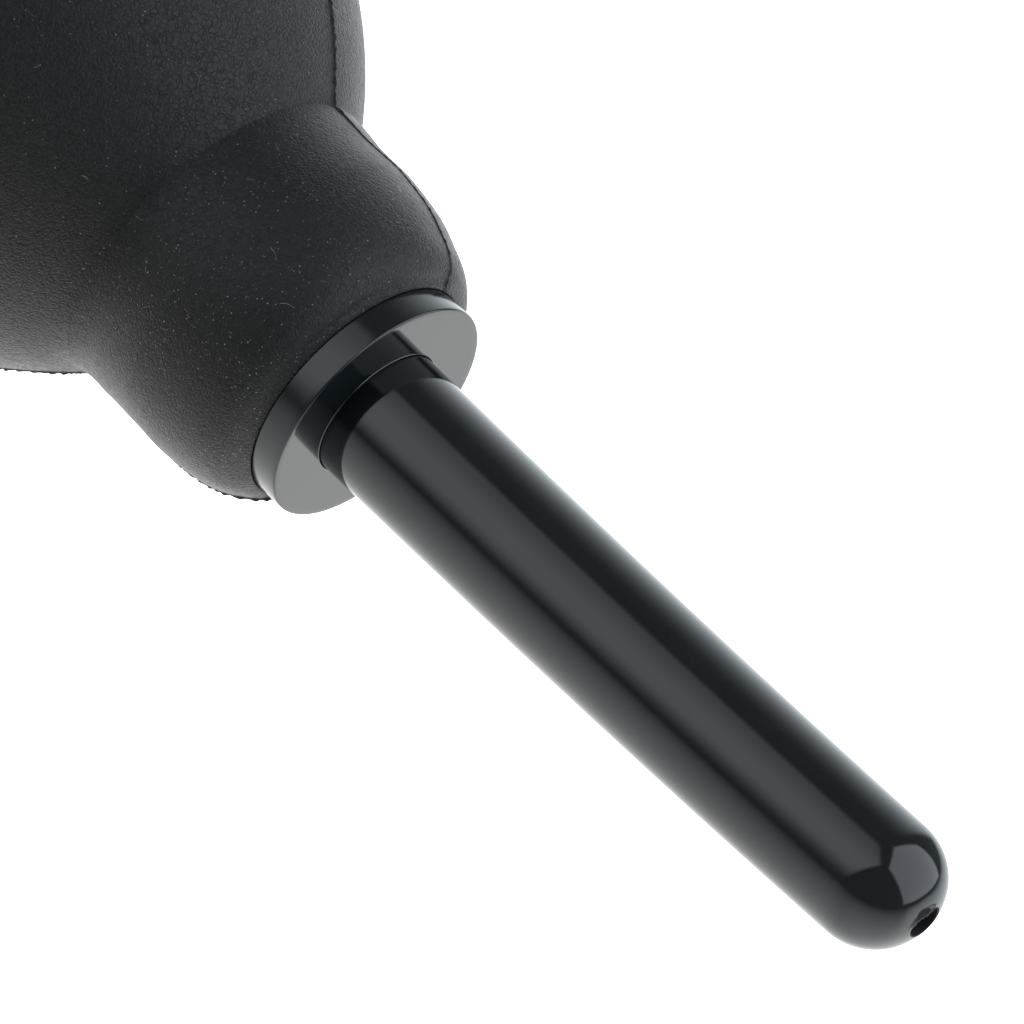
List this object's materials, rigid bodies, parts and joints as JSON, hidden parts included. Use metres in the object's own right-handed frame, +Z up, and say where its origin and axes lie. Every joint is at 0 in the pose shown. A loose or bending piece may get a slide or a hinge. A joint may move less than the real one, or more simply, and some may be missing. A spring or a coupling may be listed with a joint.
{
  "type": "dust blower bulb",
  "caption": "Pear-shaped rubber squeeze bulb on a flat foot with a tail inlet valve, a collar plug in its neck and a screw-in round-ended nozzle; a squeeze blows an air jet.",
  "frame": {"origin": "centre of the flat foot, on the surface that the bulb stands on", "axes": "+Z up along the common axis of bulb and nozzle, towards the nozzle tip; X and Y are equivalent, with the mould parting plane of the bulb in XZ"},
  "size_m": [0.056, 0.056, 0.1547],
  "materials": {
    "bulb_rubber": "matte pebble-grained moulded rubber",
    "gloss_black_plastic": "polished black moulding",
    "satin_black_plastic": "satin black moulding",
    "seal_silicone": "soft grey silicone",
    "screen_steel": "perforated stainless sheet"
  },
  "bodies": {
    "bulb": {"bulb": "bulb_rubber", "inlet_valve_body": "satin_black_plastic", "valve_cage": "satin_black_plastic", "inlet_screen": "screen_steel"},
    "valve": {"valve_disc": "seal_silicone"},
    "neck": {"neck_plug": "gloss_black_plastic"},
    "seal": {"nozzle_oring": "seal_silicone"},
    "nozzle": {"nozzle": "gloss_black_plastic"}
  },
  "joints": [
    {"name": "bulb_squeeze", "type": "slide", "parent": "bulb", "child": "neck", "axis": [0, 0, -1], "range_m": [0, 0.02], "stiffness_N_per_m": 800, "springref_m": -0.001, "deforming": ["bulb"]},
    {"name": "valve_lift", "type": "slide", "parent": "bulb", "child": "valve", "axis": [0, 0, 1], "range_m": [0, 0.0013]},
    {"name": "nozzle_advance", "type": "slide", "parent": "neck", "child": "seal", "axis": [0, 0, 1], "range_m": [0, 0.0061]},
    {"name": "nozzle_turn", "type": "hinge", "parent": "seal", "child": "nozzle", "pos_m": [0, 0, 0.096], "axis": [0, 0, 1], "range_deg": [0, 1080]}
  ],
  "couplings": [
    {"joint": "nozzle_advance", "follows": "nozzle_turn", "m_per_rad": 0.00031831}
  ]
}
